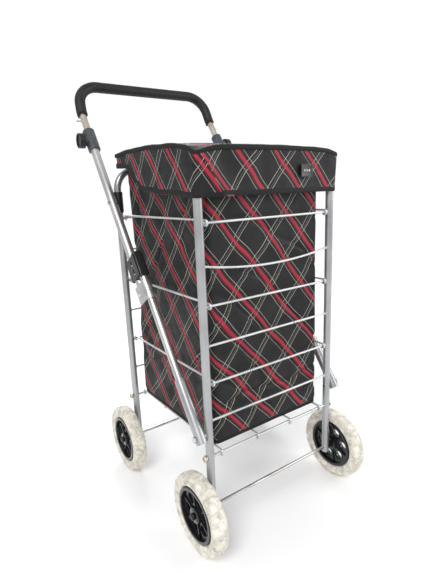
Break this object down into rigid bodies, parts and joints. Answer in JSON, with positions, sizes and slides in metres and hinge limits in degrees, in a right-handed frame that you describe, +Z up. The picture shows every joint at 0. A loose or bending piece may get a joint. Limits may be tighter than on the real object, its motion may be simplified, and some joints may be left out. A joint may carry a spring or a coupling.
{
  "type": "folding shopping trolley",
  "caption": "Folding shopping trolley: wire cage between two tube frames on wheels, telescopic push handle, hinged side braces and a lidded cloth bag.",
  "frame": {"origin": "on the floor, under the middle of the trolley's bounding box", "axes": "+Z up, the front faces -Y, the handle is at +Y, +X is to the user's side, across the trolley"},
  "size_m": [0.431, 0.5844, 0.9625],
  "materials": {
    "painted_steel": "silver grey hammered powder coat",
    "plated_steel": "bright zinc or chrome plate",
    "aluminium_tube": "satin drawn tube",
    "bright_steel": "plain bright steel",
    "black_plastic": "moulded, satin",
    "grey_plastic": "moulded, satin",
    "hub_plastic": "moulded, glossy",
    "tyre_foam": "cream mottled foam",
    "grip_foam": "black foam",
    "cloth": "black woven polyester with a diagonal plaid",
    "badge_rubber": "soft moulded patch"
  },
  "bodies": {
    "front_frame": {"front_frame_tube": "painted_steel", "front_wire_1": "painted_steel", "front_wire_2": "painted_steel", "front_wire_3": "painted_steel", "front_wire_4": "painted_steel", "front_wire_5": "painted_steel", "front_wire_6": "painted_steel", "front_bottom_rod": "painted_steel", "front_axle": "plated_steel", "front_axle_caps": "plated_steel", "brace_bolts": "plated_steel", "bag": "cloth"},
    "rear_frame": {"rear_frame_tube": "painted_steel", "rear_wire_1": "painted_steel", "rear_wire_2": "painted_steel", "rear_wire_3": "painted_steel", "rear_wire_4": "painted_steel", "rear_wire_5": "painted_steel", "rear_wire_6": "painted_steel", "rear_bottom_rod": "painted_steel", "rear_axle": "plated_steel", "rear_axle_caps": "plated_steel", "bracket_left": "black_plastic", "bracket_right": "black_plastic"},
    "upper_links": {"upper_link_left": "painted_steel", "upper_link_right": "painted_steel"},
    "middle_links": {"middle_link_left": "painted_steel", "middle_link_right": "painted_steel"},
    "lower_links": {"lower_link_left": "painted_steel", "lower_link_right": "painted_steel"},
    "bottom_panel": {"bottom_panel": "painted_steel"},
    "brace": {"brace_socket_left": "painted_steel", "brace_socket_right": "painted_steel", "brace_tube_left": "painted_steel", "brace_tube_right": "painted_steel", "knee_clip_left": "plated_steel", "knee_clip_right": "plated_steel", "knee_pins": "plated_steel"},
    "handle_base": {"handle_tube_left": "aluminium_tube", "handle_tube_right": "aluminium_tube", "collar_left": "grey_plastic", "collar_right": "grey_plastic", "bracket_rivets": "plated_steel"},
    "handle": {"handle_rod": "bright_steel", "grip": "grip_foam", "stop_pins": "plated_steel"},
    "catch_left": {"catch_left": "black_plastic"},
    "catch_right": {"catch_right": "black_plastic"},
    "knob_left": {"knob_left": "black_plastic"},
    "knob_right": {"knob_right": "black_plastic"},
    "lid": {"lid": "cloth", "badge": "badge_rubber"},
    "front_left_wheel": {"front_left_hub": "hub_plastic", "front_left_tyre": "tyre_foam"},
    "front_right_wheel": {"front_right_hub": "hub_plastic", "front_right_tyre": "tyre_foam"},
    "rear_left_wheel": {"rear_left_hub": "hub_plastic", "rear_left_tyre": "tyre_foam"},
    "rear_right_wheel": {"rear_right_hub": "hub_plastic", "rear_right_tyre": "tyre_foam"}
  },
  "joints": [
    {"name": "fold", "type": "hinge", "parent": "front_frame", "child": "middle_links", "pos_m": [0, -0.21118, 0.487], "axis": [-1, 0, 0], "range_deg": [0, 80], "deforming": ["bag", "lid", "badge"]},
    {"name": "upper_links_fold", "type": "hinge", "parent": "front_frame", "child": "upper_links", "pos_m": [0, -0.21118, 0.635], "axis": [-1, 0, 0], "range_deg": [0, 80]},
    {"name": "lower_links_fold", "type": "hinge", "parent": "front_frame", "child": "lower_links", "pos_m": [0, -0.21118, 0.339], "axis": [-1, 0, 0], "range_deg": [0, 80]},
    {"name": "bottom_panel_fold", "type": "hinge", "parent": "front_frame", "child": "bottom_panel", "pos_m": [0, -0.21118, 0.19], "axis": [-1, 0, 0], "range_deg": [0, 80]},
    {"name": "rear_frame_fold", "type": "hinge", "parent": "middle_links", "child": "rear_frame", "pos_m": [0, 0.12482, 0.487], "axis": [1, 0, 0], "range_deg": [0, 80]},
    {"name": "brace_fold", "type": "hinge", "parent": "front_frame", "child": "brace", "pos_m": [0, -0.21118, 0.239], "axis": [1, 0, 0], "range_deg": [0, 51.49]},
    {"name": "knee_fold", "type": "hinge", "parent": "brace", "child": "handle_base", "pos_m": [0, -0.01905, 0.48092], "axis": [-1, 0, 0], "range_deg": [0, 168.16]},
    {"name": "handle_height", "type": "slide", "parent": "handle_base", "child": "handle", "axis": [0, 0.5592, 0.829], "range_m": [-0.026, 0.08]},
    {"name": "catch_left_slide", "type": "slide", "parent": "handle_base", "child": "catch_left", "axis": [0, 0.5592, 0.829], "range_m": [0, 0.009]},
    {"name": "knob_left_turn", "type": "hinge", "parent": "handle_base", "child": "knob_left", "pos_m": [-0.205, 0.20518, 0.81337], "axis": [-1, 0, 0], "range_deg": [0, 180]},
    {"name": "catch_right_slide", "type": "slide", "parent": "handle_base", "child": "catch_right", "axis": [0, 0.5592, 0.829], "range_m": [0, 0.009]},
    {"name": "knob_right_turn", "type": "hinge", "parent": "handle_base", "child": "knob_right", "pos_m": [0.205, 0.20518, 0.81337], "axis": [1, 0, 0], "range_deg": [0, 180]},
    {"name": "lid_open", "type": "hinge", "parent": "front_frame", "child": "lid", "pos_m": [0, 0.10682, 0.7445], "axis": [-1, 0, 0], "range_deg": [0, 110]},
    {"name": "front_left_wheel_spin", "type": "hinge", "parent": "front_frame", "child": "front_left_wheel", "pos_m": [-0.194, -0.21118, 0.081], "axis": [1, 0, 0], "continuous": true},
    {"name": "front_right_wheel_spin", "type": "hinge", "parent": "front_frame", "child": "front_right_wheel", "pos_m": [0.194, -0.21118, 0.081], "axis": [1, 0, 0], "continuous": true},
    {"name": "rear_left_wheel_spin", "type": "hinge", "parent": "rear_frame", "child": "rear_left_wheel", "pos_m": [-0.194, 0.12482, 0.081], "axis": [1, 0, 0], "continuous": true},
    {"name": "rear_right_wheel_spin", "type": "hinge", "parent": "rear_frame", "child": "rear_right_wheel", "pos_m": [0.194, 0.12482, 0.081], "axis": [1, 0, 0], "continuous": true}
  ],
  "couplings": [
    {"joint": "upper_links_fold", "follows": "fold", "ratio": 1},
    {"joint": "lower_links_fold", "follows": "fold", "ratio": 1},
    {"joint": "bottom_panel_fold", "follows": "fold", "ratio": 1},
    {"joint": "rear_frame_fold", "follows": "fold", "ratio": 1},
    {"joint": "brace_fold", "follows": "fold", "ratio": 0.64353},
    {"joint": "knee_fold", "follows": "fold", "ratio": 2.1019}
  ]
}
